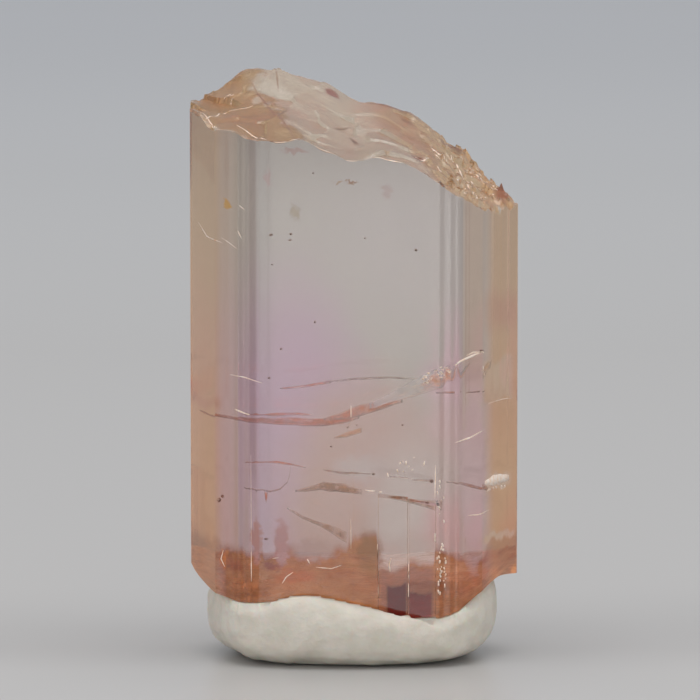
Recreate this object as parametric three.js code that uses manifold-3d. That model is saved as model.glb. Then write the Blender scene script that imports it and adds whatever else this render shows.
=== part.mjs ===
// A prismatic tanzanite crystal standing in a pressed lump of white mineral putty.
// Millimetres, +Z up. The origin is the centre of the putty's flat foot. X runs along the
// crystal's broad faces and Y through its thickness, with the better face at -Y.

import * as THREE from "three";
import { mergeVertices } from "three/addons/utils/BufferGeometryUtils.js";
import Module from "manifold-3d";

// Driving dimensions
const halfWidth = 6.52;
const halfDepth = 4.0;
const seatGap = 0.3;
const puttyHalfWidth = 5.72;
const puttyHalfDepth = 4.9;
const puttyShiftX = -0.08;
const puttySquareness = 3;

// How finely the broken ends and the putty are faceted
const breakCell = 0.33;
const puttySegments = 56;
const puttyCurveSteps = 5;

// The raw prism reaches past both breaks, and each break's block past the prism
const prismFoot = 0.5;
const prismTop = 25.0;
const breakMargin = 0.8;

// The prism's cross-section, seen from above and anticlockwise from the left side face.
// Short edges between the long ones are growth steps that run the crystal's full height.
const section = [
  [-halfWidth, -0.6],
  [-6.16, -1.4],
  [-6.22, -1.43],
  [-5.48, -3.06],
  [-4.68, -3.5],
  [-4.6, -3.66],
  [-4.26, -3.74],
  [-4.2, -3.86],
  [-3.84, -3.92],
  [-3.8, -halfDepth],
  [3.38, -halfDepth],
  [3.44, -3.94],
  [3.8, -3.94],
  [3.86, -3.86],
  [4.14, -3.86],
  [4.24, -3.74],
  [5.05, -3.3],
  [5.84, -1.9],
  [5.79, -1.87],
  [halfWidth, -0.58],
  [halfWidth, 0.8],
  [6.06, 1.8],
  [6.0, 1.77],
  [5.5, 2.87],
  [4.6, 3.66],
  [4.52, 3.78],
  [3.9, halfDepth],
  [1.3, halfDepth],
  [1.24, 3.93],
  [0.2, 3.93],
  [0.14, halfDepth],
  [-3.4, halfDepth],
  [-3.5, 3.9],
  [-4.4, 3.78],
  [-5.6, 3.0],
  [-halfWidth, 0.9],
];

// Heights of the broken ends along X, as [x, z], on the front face and on the back face.
const topFront = [
  [-6.6, 21.6],
  [-5.4, 21.05],
  [-4.5, 21.1],
  [-3.8, 20.7],
  [-2.4, 20.62],
  [-0.9, 20.22],
  [-0.1, 19.8],
  [0.3, 19.86],
  [0.8, 20.08],
  [1.6, 19.95],
  [2.2, 19.8],
  [3.35, 19.1],
  [4.3, 18.38],
  [5.1, 17.75],
  [6.6, 17.5],
];
const topBack = [
  [-6.6, 22.75],
  [-5.6, 22.66],
  [-4.6, 23.12],
  [-3.6, 23.36],
  [-2.6, 23.15],
  [-0.9, 22.66],
  [0.1, 22.16],
  [1.1, 22.0],
  [2.3, 21.5],
  [3.5, 20.65],
  [4.7, 19.75],
  [5.8, 18.95],
  [6.6, 18.0],
];
const bottomFront = [
  [-6.6, 3.8],
  [-6.36, 3.1],
  [-5.9, 2.8],
  [-5.4, 2.65],
  [-4.6, 2.45],
  [-3.5, 2.6],
  [-1.7, 2.65],
  [-0.9, 2.5],
  [0.6, 2.15],
  [2.0, 1.85],
  [3.4, 1.95],
  [4.2, 2.25],
  [4.6, 2.55],
  [5.4, 3.15],
  [5.7, 3.3],
  [6.6, 3.3],
];
const bottomBack = [
  [-6.6, 4.4],
  [-6.2, 4.1],
  [-5.4, 3.95],
  [-3.9, 3.98],
  [0.9, 3.96],
  [2.2, 3.9],
  [4.3, 4.12],
  [5.3, 3.85],
  [6.6, 3.2],
];

// Curved chips on the top break: centre, radius and depth of each dish
const topDishes = [
  { x: -4.7, y: 0.6, radius: 2.5, depth: 0.34 },
  { x: -0.4, y: -0.6, radius: 3.1, depth: 0.22 },
  { x: 2.9, y: 1.2, radius: 1.9, depth: 0.2 },
];
const bottomDishes = [
  { x: -4.0, y: -1.0, radius: 2.0, depth: 0.18 },
  { x: 2.6, y: 0.4, radius: 2.2, depth: 0.2 },
];

// A raised crease across the top from the back left to the front, and a low ledge on its left
const crease = { from: [-4.5, halfDepth], to: [-2.1, -halfDepth], height: 0.2, halfWidth: 0.8 };
const ledge = { from: [-6.2, -1.9], to: [-3.4, -1.1], drop: 0.14, width: 0.12 };

// Bumps on the breaks: size of one bump and height. The top's right end is crushed and rougher.
const topSwell = { cell: 1.7, height: 0.07 };
const topGrain = { cell: 0.55, smooth: 0.03, crushed: 0.17, crushedFrom: 2.4, crushedTo: 4.8 };
const bottomSwell = { cell: 1.3, height: 0.06 };

// Etched channels up the lower front: X span, top height at each side, and depth of the recess
const channels = [
  { left: 0.94, right: 2.12, topLeft: 6.75, topRight: 6.5, depth: 0.34 },
  { left: 2.18, right: 3.22, topLeft: 6.45, topRight: 6.2, depth: 0.24 },
  { left: -0.2, right: -0.02, topLeft: 9.6, topRight: 9.9, depth: 0.1 },
];

// Fractures that reach in from the front face: the edge there and the deepest edge along X, as
// [x, z at the front, z inside], with how far in they reach at their middle and how wide they gape
const fractures = [
  {
    edge: [
      [-6.4, 10.12, 10.02],
      [-5.4, 9.95, 9.85],
      [-4.1, 9.78, 9.68],
      [-2.5, 9.72, 9.62],
      [-1.1, 9.68, 9.6],
      [-0.3, 9.86, 9.8],
      [0.5, 10.12, 10.15],
      [1.8, 10.5, 10.65],
      [2.6, 10.8, 10.95],
      [3.3, 11.0, 11.2],
      [4.0, 11.6, 11.8],
      [5.1, 12.4, 12.5],
    ],
    reach: 5.4,
    gape: 0.08,
  },
  {
    edge: [
      [-2.9, 11.05, 10.95],
      [-1.9, 11.14, 11.03],
      [-0.9, 11.3, 11.18],
      [0.8, 11.48, 11.35],
      [1.7, 11.48, 11.35],
      [2.4, 11.4, 11.28],
    ],
    reach: 3.2,
    gape: 0.06,
  },
];
const fractureRows = 4;
const fractureRoot = 0.4;
const fractureFinest = 0.02;

// The putty's lip along X, as [x, z]. It hides the crystal's lower edge, and is higher at the back.
const lipFront = [
  [-5.8, 2.3],
  [-5.3, 2.95],
  [-4.6, 3.22],
  [-3.8, 3.2],
  [-3.4, 3.02],
  [-1.7, 3.04],
  [-0.9, 2.84],
  [0.6, 2.52],
  [2.0, 2.22],
  [3.4, 2.26],
  [4.2, 2.42],
  [5.0, 2.95],
  [5.5, 3.3],
  [5.8, 3.1],
];
const lipBack = [
  [-5.8, 3.3],
  [-4.6, 3.86],
  [-0.9, 3.92],
  [2.2, 3.86],
  [4.3, 4.04],
  [5.8, 3.45],
];

// The putty's side, as [share of its width, share of its height]: the edge of the flat foot, then each
// curve's handles and the point that it ends on, up to the lip's inner edge
const footEdge = [0.6, 0];
const bellyCurve = [0.82, 0, 0.96, 0.12, 0.98, 0.42];
const shoulderCurve = [1, 0.62, 1, 0.82, 0.95, 0.93];
const lipCurve = [0.9, 1, 0.7, 1];
const puttyWaves = [
  { count: 4, size: 0.02, phase: 0.5 },
  { count: 8, size: 0.01, phase: 0 },
];

const wasm = await Module();
wasm.setup();

// Straight-line interpolation through a list of [x, z].
function heightAt(profile, x) {
  const next = profile.findIndex(([px]) => px >= x);
  if (next < 0) return profile.at(-1)[1];
  if (next === 0) return profile[0][1];
  const [x0, z0] = profile[next - 1];
  const [x1, z1] = profile[next];
  return THREE.MathUtils.mapLinear(x, x0, x1, z0, z1);
}

// A repeatable value from 0 to 1 for each cell of a grid
function cellValue(i, j) {
  const wave = Math.sin(i * 127.1 + j * 311.7) * 43758.5453;
  return wave - Math.floor(wave);
}

// Smooth bumps of about one cell across, from -1 to 1.
function bumps(x, y, cell) {
  const i = Math.floor(x / cell);
  const j = Math.floor(y / cell);
  const u = THREE.MathUtils.smoothstep(x / cell - i, 0, 1);
  const v = THREE.MathUtils.smoothstep(y / cell - j, 0, 1);
  const near = THREE.MathUtils.lerp(cellValue(i, j), cellValue(i + 1, j), u);
  const far = THREE.MathUtils.lerp(cellValue(i, j + 1), cellValue(i + 1, j + 1), u);
  return 2 * THREE.MathUtils.lerp(near, far, v) - 1;
}

// How far shell-like chips lower the surface at a point: full at the centre, with a crisp rim.
function dishDepth(dishes, x, y) {
  return dishes.reduce((sum, dish) => {
    const reach = Math.hypot(x - dish.x, y - dish.y) / dish.radius;
    return sum + (reach < 1 ? dish.depth * (1 - reach * reach) : 0);
  }, 0);
}

// A break's height between its front and back profiles
function breakHeight(front, back, x, y) {
  const share = THREE.MathUtils.clamp((y + halfDepth) / (2 * halfDepth), 0, 1);
  return THREE.MathUtils.lerp(heightAt(front, x), heightAt(back, x), share);
}

// Signed distance from a line through two points, positive on its right
function besideLine({ from, to }, x, y) {
  const [dx, dy] = [to[0] - from[0], to[1] - from[1]];
  return ((x - from[0]) * dy - (y - from[1]) * dx) / Math.hypot(dx, dy);
}

function creaseLift(x, y) {
  const away = Math.abs(besideLine(crease, x, y)) / crease.halfWidth;
  return away < 1 ? crease.height * (1 - away) : 0;
}

// The ledge's low side is towards the front, and it dies out at the crease.
function ledgeDrop(x, y) {
  const below = THREE.MathUtils.smoothstep(besideLine(ledge, x, y), 0, ledge.width);
  const inside = THREE.MathUtils.smoothstep(ledge.to[0] - x, 0, 1);
  return ledge.drop * below * inside;
}

function topHeight(x, y) {
  const crushed = THREE.MathUtils.smoothstep(x, topGrain.crushedFrom, topGrain.crushedTo);
  const grain = THREE.MathUtils.lerp(topGrain.smooth, topGrain.crushed, crushed);
  return (
    breakHeight(topFront, topBack, x, y) +
    creaseLift(x, y) -
    ledgeDrop(x, y) -
    dishDepth(topDishes, x, y) +
    topSwell.height * bumps(x, y, topSwell.cell) +
    grain * bumps(x, y, topGrain.cell)
  );
}

function bottomHeight(x, y) {
  return (
    breakHeight(bottomFront, bottomBack, x, y) +
    dishDepth(bottomDishes, x, y) +
    bottomSwell.height * bumps(x, y, bottomSwell.cell)
  );
}

// A closed three.js geometry as a solid
function solidOf(geometry) {
  const bare = geometry.clone();
  bare.deleteAttribute("normal");
  bare.deleteAttribute("uv");
  const merged = mergeVertices(bare, 1e-4);
  return new wasm.Manifold(
    new wasm.Mesh({
      numProp: 3,
      vertProperties: merged.attributes.position.array,
      triVerts: new Uint32Array(merged.index.array),
    }),
  );
}

// A solid as a flat-shaded three.js geometry
function geometryOf(solid) {
  const { vertProperties, triVerts } = solid.getMesh();
  const indexed = new THREE.BufferGeometry()
    .setAttribute("position", new THREE.BufferAttribute(vertProperties, 3))
    .setIndex(new THREE.BufferAttribute(triVerts, 1));
  const flat = indexed.toNonIndexed();
  flat.computeVertexNormals();
  return flat;
}

// An upright prism over the section, grown outwards from the axis by a share of its size.
function prism(grow) {
  const outline = new THREE.Shape(section.map(([x, y]) => new THREE.Vector2(x * grow, y * grow)));
  const body = new THREE.ExtrudeGeometry(outline, { depth: prismTop - prismFoot, bevelEnabled: false });
  return solidOf(body.translate(0, 0, prismFoot));
}

// A block over the whole section with one flat end and one end shaped by a height function.
function breakBlock(height, flatEnd) {
  const reachX = halfWidth + breakMargin;
  const reachY = halfDepth + breakMargin;
  const countX = Math.round((2 * reachX) / breakCell);
  const countY = Math.round((2 * reachY) / breakCell);
  const block = new THREE.BoxGeometry(2 * reachX, 2 * reachY, 2, countX, countY, 1);
  const points = block.attributes.position;
  const shapedSide = Math.sign(-flatEnd);
  for (let i = 0; i < points.count; i++) {
    const shaped = Math.sign(points.getZ(i)) === shapedSide;
    const flat = flatEnd > 0 ? prismTop + 1 : prismFoot - 1;
    points.setZ(i, shaped ? height(points.getX(i), points.getY(i)) : flat);
  }
  return solidOf(block);
}

// One etched channel: a slab cut into the front face, with a sloping top.
function channelCutter({ left, right, topLeft, topRight, depth }) {
  const outline = new THREE.Shape([
    new THREE.Vector2(left, 0),
    new THREE.Vector2(right, 0),
    new THREE.Vector2(right, topRight),
    new THREE.Vector2(left, topLeft),
  ]);
  const slab = new THREE.ExtrudeGeometry(outline, { depth: 1 + depth, bevelEnabled: false });
  return solidOf(slab.rotateX(Math.PI / 2).translate(0, -halfDepth + depth, 0));
}

// One fracture: a thin slab that narrows inwards and reaches less far in towards its two ends.
function fractureCutter({ edge, reach, gape }) {
  const slab = new THREE.BoxGeometry(1, 1, 1, edge.length - 1, fractureRows, 1);
  const points = slab.attributes.position;
  for (let i = 0; i < points.count; i++) {
    const [x, front, inside] = edge[Math.round((points.getX(i) + 0.5) * (edge.length - 1))];
    const share = points.getY(i) + 0.5;
    const along = THREE.MathUtils.lerp(fractureRoot, 1, Math.sin(Math.PI * (points.getX(i) + 0.5)));
    const deepest = -halfDepth + reach * along;
    const open = THREE.MathUtils.lerp(gape, fractureFinest, share) / 2;
    const z = THREE.MathUtils.lerp(front, inside, share) + Math.sign(points.getZ(i)) * open;
    points.setXYZ(i, x, THREE.MathUtils.lerp(-halfDepth - breakMargin, deepest, share), z);
  }
  return solidOf(slab);
}

function crystalSolid() {
  const whole = prism(1)
    .subtract(breakBlock(topHeight, 1))
    .subtract(breakBlock(bottomHeight, -1));
  const cutters = [...channels.map(channelCutter), ...fractures.map(fractureCutter)];
  return cutters.reduce((solid, cutter) => solid.subtract(cutter), whole);
}

// How far the putty's outline reaches at a turn about its axis: a wavy round-cornered rectangle.
function puttyReach(turn) {
  const across = Math.abs(Math.cos(turn)) ** puttySquareness;
  const along = Math.abs(Math.sin(turn)) ** puttySquareness;
  let wavy = 1;
  for (const { count, size, phase } of puttyWaves) wavy += size * Math.cos(count * turn + phase);
  return wavy / (across + along) ** (1 / puttySquareness);
}

// The lump before the crystal was pressed in: squashed, with a small flat foot.
function puttyLump() {
  const profile = new THREE.Path()
    .moveTo(0, 0)
    .lineTo(...footEdge)
    .bezierCurveTo(...bellyCurve)
    .bezierCurveTo(...shoulderCurve)
    .quadraticCurveTo(...lipCurve)
    .lineTo(0, 1);
  const lump = new THREE.LatheGeometry(profile.getPoints(puttyCurveSteps), puttySegments);
  lump.rotateX(Math.PI / 2);
  const points = lump.attributes.position;
  for (let i = 0; i < points.count; i++) {
    const reach = puttyReach(Math.atan2(points.getY(i), points.getX(i)));
    const x = points.getX(i) * puttyHalfWidth * reach + puttyShiftX;
    const y = points.getY(i) * puttyHalfDepth * reach;
    points.setXYZ(i, x, y, points.getZ(i) * breakHeight(lipFront, lipBack, x, y));
  }
  return solidOf(lump);
}

// The crystal's lower end with the seat gap all round, as the tool that presses the lump.
function pressTool() {
  const grow = 1 + seatGap / halfDepth;
  return prism(grow).subtract(breakBlock((x, y) => bottomHeight(x, y) - seatGap, -1));
}

function meshOf(name, solid, material) {
  const mesh = new THREE.Mesh(geometryOf(solid), material);
  mesh.name = name;
  return mesh;
}

const crystalMaterial = new THREE.MeshPhysicalMaterial({
  color: 0xd9b7bd,
  roughness: 0.04,
  metalness: 0,
  transmission: 0.9,
  ior: 1.69,
});
const puttyMaterial = new THREE.MeshStandardMaterial({ color: 0xd6d2c2, roughness: 0.75, metalness: 0 });

const specimen = new THREE.Group();
specimen.add(
  meshOf("tanzanite_crystal", crystalSolid(), crystalMaterial),
  meshOf("mineral_putty", puttyLump().subtract(pressTool()), puttyMaterial),
);

export default specimen;
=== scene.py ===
"""The looks of a tanzanite crystal that stands in a lump of white mineral putty."""

import math
import random

import bmesh
import bpy
import numpy as np
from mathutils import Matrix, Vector, geometry, noise
from mathutils.bvhtree import BVHTree


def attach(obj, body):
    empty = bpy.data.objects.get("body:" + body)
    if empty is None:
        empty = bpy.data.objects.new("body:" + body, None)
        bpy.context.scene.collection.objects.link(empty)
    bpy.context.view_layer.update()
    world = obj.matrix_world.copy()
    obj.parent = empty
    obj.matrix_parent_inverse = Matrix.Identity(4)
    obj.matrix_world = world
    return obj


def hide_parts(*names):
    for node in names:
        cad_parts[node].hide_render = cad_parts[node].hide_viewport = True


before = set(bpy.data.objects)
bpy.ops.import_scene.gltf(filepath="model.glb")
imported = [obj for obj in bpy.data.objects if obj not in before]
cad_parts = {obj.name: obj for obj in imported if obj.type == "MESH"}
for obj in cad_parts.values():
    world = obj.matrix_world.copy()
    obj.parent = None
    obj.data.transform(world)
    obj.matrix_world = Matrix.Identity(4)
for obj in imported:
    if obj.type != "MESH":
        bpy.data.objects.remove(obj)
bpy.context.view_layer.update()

MM = 0.001

# The photograph's view. The eye is in mm.
ELEVATION = math.radians(5)
DISTANCE = 0.190
VIEW_WIDTH = 0.028
TARGET = Vector((-0.16 * MM, 0, 12.2 * MM))
SENSOR = 36
BACKWARDS = Vector((0, -math.cos(ELEVATION), math.sin(ELEVATION)))
EYE = (TARGET + DISTANCE * BACKWARDS) / MM

CRYSTAL_IOR = 1.69
FRONT = -4.0
BACK = 4.0

# The upper break lies above the first of these heights in mm and the lower one below the second.
# ABOVE, BELOW and BEFORE are clear of the part, and NEARER are shares of the way out from the axis.
TOP_FROM = 15
BOTTOM_TO = 6
ABOVE = 30
BELOW = -5
BEFORE = -10
NEARER = (0.995, 0.99, 0.98, 0.97, 0.95)

# The crystal's cross-section in mm, seen from above and anticlockwise. It is the CAD's, with
# the small growth steps rounded off and without the shallow groove up its back.
SECTION = [
    (-6.52, -0.6), (-6.2, -1.4), (-5.48, -3.06), (-4.72, -3.5), (-4.56, -3.64),
    (-4.3, -3.74), (-4.14, -3.86), (-3.92, -3.93), (-3.76, FRONT), (3.34, FRONT), (3.5, -3.94),
    (3.76, -3.93), (3.92, -3.87), (4.1, -3.85), (4.26, -3.74), (5.05, -3.3), (5.81, -1.88),
    (6.52, -0.58), (6.52, 0.8), (6.04, 1.77), (5.5, 2.87), (4.62, 3.66), (4.48, 3.8), (3.9, BACK),
    (-3.3, BACK), (-3.56, 3.91), (-4.4, 3.78), (-5.6, 3.0), (-6.52, 0.9),
]

# Etched channels up the lower front, like the CAD's, in mm
CHANNELS = [
    {"left": 0.94, "right": 2.12, "top_left": 6.9, "top_right": 6.76, "depth": 0.34},
    {"left": 2.18, "right": 3.22, "top_left": 6.7, "top_right": 6.5, "depth": 0.24},
    {"left": -0.2, "right": -0.02, "top_left": 9.6, "top_right": 9.9, "depth": 0.1},
]

# How much a channel's sides and its top lean outwards, as a share of its depth, how far in front
# of the face its cutter starts, and how far round it the CAD's lower break isn't read, in mm
SIDE_SLOPE = 0.08
HEAD_SLOPE = 0.6
CUTTER_START = -0.2
BESIDE_CHANNEL = 0.05
BEHIND_CHANNEL = 0.03

# How finely the breaks are divided, in mm, with two rings of points just inside their rims. A
# side of the section shorter than STEP_LENGTH is a growth step.
OUTLINE_STEP = 0.12
STEP_LENGTH = 0.2
RIM_RINGS = (0.05, 0.13)
GRID_STEP = 0.09
SMOOTHING = 4

# How far in from its edge the top break is chipped and pale, in mm; the pale rim is partly chips and
# partly a painted highlight where the edge catches light
RIM_REACH = 0.3

EVERYWHERE = 1000.0

# The mesh's materials, and a mark for the narrow side faces while it is made
PRISM, TOP_BREAK, LOWER_BREAK, FLANK = range(4)
SHARP_ANGLE = math.radians(32)


def srgb(*values):
    """A colour from 0 to 255, as seen, in the linear values that a shader takes."""
    shares = [value / 255 for value in values]
    return tuple(s / 12.92 if s <= 0.04045 else ((s + 0.055) / 1.055) ** 2.4 for s in shares)


def make_camera():
    data = bpy.data.cameras.new("camera")
    data.sensor_width = SENSOR
    data.lens = SENSOR * DISTANCE / VIEW_WIDTH
    data.clip_start = 0.01
    camera = bpy.data.objects.new("camera", data)
    camera.location = TARGET + DISTANCE * BACKWARDS
    camera.rotation_euler = (math.pi / 2 - ELEVATION, 0, 0)
    bpy.context.scene.collection.objects.link(camera)
    bpy.context.scene.camera = camera


class Paint:
    """The nodes of one material. Each method adds a node and gives its output."""

    def __init__(self, name):
        self.material = bpy.data.materials.new(name)
        self.material.use_nodes = True
        self.tree = self.material.node_tree
        self.shader = self.tree.nodes["Principled BSDF"]

    def node(self, kind, inputs=(), **settings):
        made = self.tree.nodes.new(kind)
        for name, value in settings.items():
            setattr(made, name, value)
        for key, value in dict(inputs).items():
            self.put(made.inputs[key], value)
        return made

    def put(self, socket, value):
        if isinstance(value, bpy.types.NodeSocket):
            self.tree.links.new(value, socket)
        elif hasattr(value, "__len__") and len(value) == 3 and socket.type == "RGBA":
            socket.default_value = (*value, 1)
        else:
            socket.default_value = value

    def set(self, **values):
        for name, value in values.items():
            label = name.replace("_", " ").title().replace("Ior", "IOR")
            self.put(self.shader.inputs[label], value)

    def place(self):
        """Where a point is, in millimetres in the model's own frame."""
        where = self.node("ShaderNodeTexCoord").outputs["Object"]
        in_mm = self.node("ShaderNodeVectorMath", {0: where, 3: 1 / MM}, operation="SCALE")
        return in_mm.outputs[0]

    def axes(self, vector):
        return self.node("ShaderNodeSeparateXYZ", {0: vector}).outputs

    def stretch(self, vector, scale):
        made = self.node("ShaderNodeVectorMath", {0: vector, 1: scale}, operation="MULTIPLY")
        return made.outputs[0]

    def math(self, operation, a, b):
        return self.node("ShaderNodeMath", {0: a, 1: b}, operation=operation).outputs[0]

    def noise(self, vector, scale, detail=3.0, roughness=0.5):
        inputs = {"Vector": vector, "Scale": scale, "Detail": detail, "Roughness": roughness}
        return self.node("ShaderNodeTexNoise", inputs).outputs["Fac"]

    def ramp(self, value, low, high, start=0.0, end=1.0):
        """Runs smoothly from start to end as value goes from low to high."""
        inputs = {0: value, 1: low, 2: high, 3: start, 4: end}
        return self.node("ShaderNodeMapRange", inputs, interpolation_type="SMOOTHSTEP").outputs[0]

    def mix(self, factor, a, b, blend="MIX"):
        inputs = {0: factor, 6: a, 7: b}
        return self.node("ShaderNodeMix", inputs, data_type="RGBA", blend_type=blend).outputs[2]

    def attribute(self, name):
        return self.node("ShaderNodeAttribute", attribute_name=name).outputs["Fac"]

    def vector(self, x, y, z):
        return self.node("ShaderNodeCombineXYZ", {"X": x, "Y": y, "Z": z}).outputs[0]

    def blob(self, place, centre, radii, softness, turn=0.0):
        """1 inside an ellipsoid that is turned about Z, fading to 0 at its edge."""
        inputs = {"Vector": place, "Location": centre, "Rotation": (0, 0, turn), "Scale": radii}
        if turn:
            local = self.node("ShaderNodeMapping", inputs, vector_type="TEXTURE").outputs[0]
        else:
            scale = [1 / r for r in radii]
            inputs = {0: place, 1: scale, 2: [-c / r for c, r in zip(centre, radii)]}
            local = self.node("ShaderNodeVectorMath", inputs, operation="MULTIPLY_ADD").outputs[0]
        away = self.node("ShaderNodeVectorMath", {0: local}, operation="LENGTH").outputs["Value"]
        return self.ramp(away, 1 - softness, 1 + softness, 1.0, 0.0)

    def band(self, value, low, high, softness):
        """1 between low and high, fading to 0 outside."""
        rising = self.ramp(value, low - softness, low + softness)
        falling = self.ramp(value, high - softness, high + softness, 1.0, 0.0)
        return self.math("MULTIPLY", rising, falling)

    def stops(self, value, points):
        """A colour that runs straight from stop to stop, for points of (value, colour)."""
        low, high = points[0][0], points[-1][0]
        share = self.math("DIVIDE", self.math("SUBTRACT", value, low), high - low)
        made = self.node("ShaderNodeValToRGB", {0: share})
        while len(made.color_ramp.elements) < len(points):
            made.color_ramp.elements.new(1.0)
        for stop, (at, colour) in zip(made.color_ramp.elements, points):
            stop.position = (at - low) / (high - low)
            stop.color = (*colour, 1)
        return made.outputs["Color"]

    def profile(self, value, points, most):
        """A height up to `most` that runs straight from point to point of (value, height)."""
        shade = self.stops(value, [(at, [height / most] * 3) for at, height in points])
        return self.math("MULTIPLY", shade, most)

    def absorb(self, colour, density):
        """Gives the inside an absorption. Density is per metre."""
        volume = self.node("ShaderNodeVolumeAbsorption", {"Color": colour, "Density": density})
        self.tree.links.new(volume.outputs[0], self.tree.nodes["Material Output"].inputs["Volume"])

    def bump(self, height, distance):
        """Raises the surface by up to so many mm."""
        return self.node("ShaderNodeBump", {"Height": height, "Distance": distance * MM}).outputs[0]


# What the stone takes from light on its way, per metre, and the tint of its clearest faces
ABSORPTION = {"colour": (0.96, 0.82, 0.55), "density": 10.0}
CLEAR = (0.65, 0.58, 0.53)

# Colour zones seen through the broad faces: centre and reach in X and Z in mm, softness and tint,
# and how far their edges wander
ZONES = [
    ((-2.4, 8.6), (3.0, 6.0), 0.5, (0.685, 0.475, 0.58)),
    ((4.4, 8.6), (1.3, 6.6), 0.35, (0.80, 0.52, 0.57)),
    ((0.6, 6.4), (3.4, 4.6), 0.4, (0.695, 0.475, 0.42)),
    ((2.2, 6.2), (1.5, 2.4), 0.5, (0.72, 0.58, 0.535)),
    ((2.4, 16.5), (3.0, 3.4), 0.6, (0.66, 0.585, 0.55)),
    ((4.2, 5.2), (1.2, 1.6), 0.5, (0.80, 0.46, 0.45)),
]
ZONE_DRIFT = 0.7

# Where the tints that are painted on the front alone fade out, in Y in mm
FRONT_FADE = (-0.6, 0.2)

# Painted shade: darker bands up the front's two edges, where its edges and the bevels beside them look
# shaded:
# span in X in mm, how high they start, softness and tint
SHADE_BANDS = [
    ((-5.3, -4.75), 0, 0.3, (1.0, 0.90, 0.84)),
    ((-4.75, -4.1), 0, 0.2, (0.93, 0.89, 0.84)),
    ((-4.12, -3.84), 7, 0.08, (0.78, 0.73, 0.72)),
    ((4.3, 5.1), 11, 0.15, (0.92, 0.84, 0.78)),
    ((4.36, 4.40), 3, 0.02, (0.90, 0.84, 0.86)),
    ((4.50, 4.53), 3, 0.02, (0.90, 0.84, 0.86)),
]
BAND_RISE = 1.5

# The brown-stained base: its upper edge as (X, Z) on the front face, how ragged and how soft it
# is in mm, and its tints
BASE_EDGE = [
    (-6.6, 5.0), (-5.3, 4.9), (-5.2, 4.62), (-3.6, 4.66), (-3.54, 4.36), (-3.12, 4.4), (-3.06, 4.7),
    (-1.2, 4.6), (-0.3, 4.75), (-0.15, 5.15), (0.9, 5.25), (0.96, 3.95), (2.1, 3.9), (2.2, 4.12),
    (3.14, 4.08), (3.2, 4.9), (3.75, 4.5), (5.1, 4.3), (5.3, 4.8), (6.6, 4.9),
]
BASE_MOST = 6.0
BASE_TEAR = 0.16
BASE_SOFT = (-0.2, 0.25)
BASE_TINTS = {"pale": (0.70, 0.33, 0.12), "deep": (0.54, 0.20, 0.03)}

# How much of the base's brown shows on the narrow side faces, and where they start in X in mm
FLANK_SHARE = 0.6
FLANK_START = (5.0, 5.4)

# Patches with straight sides, one of them a painted highlight: span in X and in Z in mm, softness and
# tint
PATCHES = [
    ((1.0, 3.12), (0, 3.9), 0.15, (0.52, 0.22, 0.13)),
    ((1.28, 2.08), (0, 3.3), 0.08, (0.18, 0.01, 0.006)),
    ((2.14, 3.08), (0, 3.0), 0.08, (0.26, 0.02, 0.01)),
    ((-6.5, -5.3), (10.1, 10.5), 0.2, (0.90, 0.56, 0.36)),
    ((5.12, 6.3), (10.4, 12.0), 0.12, (1.0, 0.78, 0.56)),
    # Painted highlight: a lighter patch where the right side face glints
    ((5.2, 6.2), (6.95, 7.5), 0.15, (1.0, 0.80, 0.62)),
    ((5.15, 6.4), (4.86, 5.1), 0.08, (1.0, 0.80, 0.60)),
    ((5.3, 6.6), (13.2, 14.6), 0.5, (0.94, 0.60, 0.42)),
]

# Stains and clouds under the front face: place and reach in X and Z in mm, softness and tint
STAINS = [
    ((-3.83, 5.0), (0.2, 0.85), 0.3, (0.74, 0.46, 0.42)),
    ((-2.85, 4.95), (0.27, 0.9), 0.3, (0.70, 0.43, 0.42)),
    ((-1.6, 4.7), (0.75, 0.42), 0.5, (0.70, 0.55, 0.52)),
    ((-3.2, 4.02), (0.4, 0.16), 0.6, (0.40, 0.10, 0.05)),
    ((-4.7, 4.0), (0.32, 0.26), 0.6, (0.54, 0.18, 0.06)),
    ((-5.15, 4.2), (0.14, 0.36), 0.5, (0.95, 0.36, 0.06)),
    ((-2.3, 3.6), (0.8, 0.22), 0.5, (0.70, 0.22, 0.05)),
    ((0.6, 4.5), (0.5, 0.8), 0.4, (0.48, 0.22, 0.05)),
    ((4.4, 3.5), (0.7, 0.6), 0.6, (0.96, 0.48, 0.25)),
    ((0.2, 7.9), (0.9, 0.45), 0.6, (0.84, 0.80, 0.80)),
    ((-5.0, 18.22), (0.13, 0.19), 0.2, (1.0, 0.62, 0.22)),
    ((4.7, 7.4), (0.5, 3.4), 0.25, (0.93, 0.75, 0.78)),
    ((-2.3, 17.95), (0.20, 0.24), 0.7, (0.66, 0.58, 0.47)),
    ((-3.34, 19.3), (0.12, 0.32), 0.5, (0.82, 0.64, 0.62)),
    ((1.28, 18.75), (0.2, 0.25), 0.6, (0.76, 0.64, 0.60)),
    ((-2.3, 20.34), (0.45, 0.1), 0.5, (0.76, 0.58, 0.54)),
    ((-0.62, 19.12), (0.18, 0.06), 0.5, (0.66, 0.46, 0.32)),
    ((-0.08, 19.1), (0.22, 0.07), 0.5, (0.56, 0.34, 0.22)),
]
STAIN_DEPTH = 3.0
STAIN_TEAR = 0.13

# Tints of the narrow side faces, out at the crystal's edges and on the bevels beside the front,
# with the heights in mm that they run between and where one gives way to the other in X
EDGE_TINTS = {"foot": (0.99, 0.42, 0.13), "top": (0.95, 0.53, 0.25), "rise": (4, 20)}
BEVEL_TINTS = {"foot": (0.86, 0.58, 0.53), "top": (0.85, 0.72, 0.60), "rise": (4, 16)}
EDGE_START = (5.0, 5.6)


def once(tint):
    """A tint for one face that counts like a tint on both faces that a ray goes through."""
    return tuple(share * share for share in tint)


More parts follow.
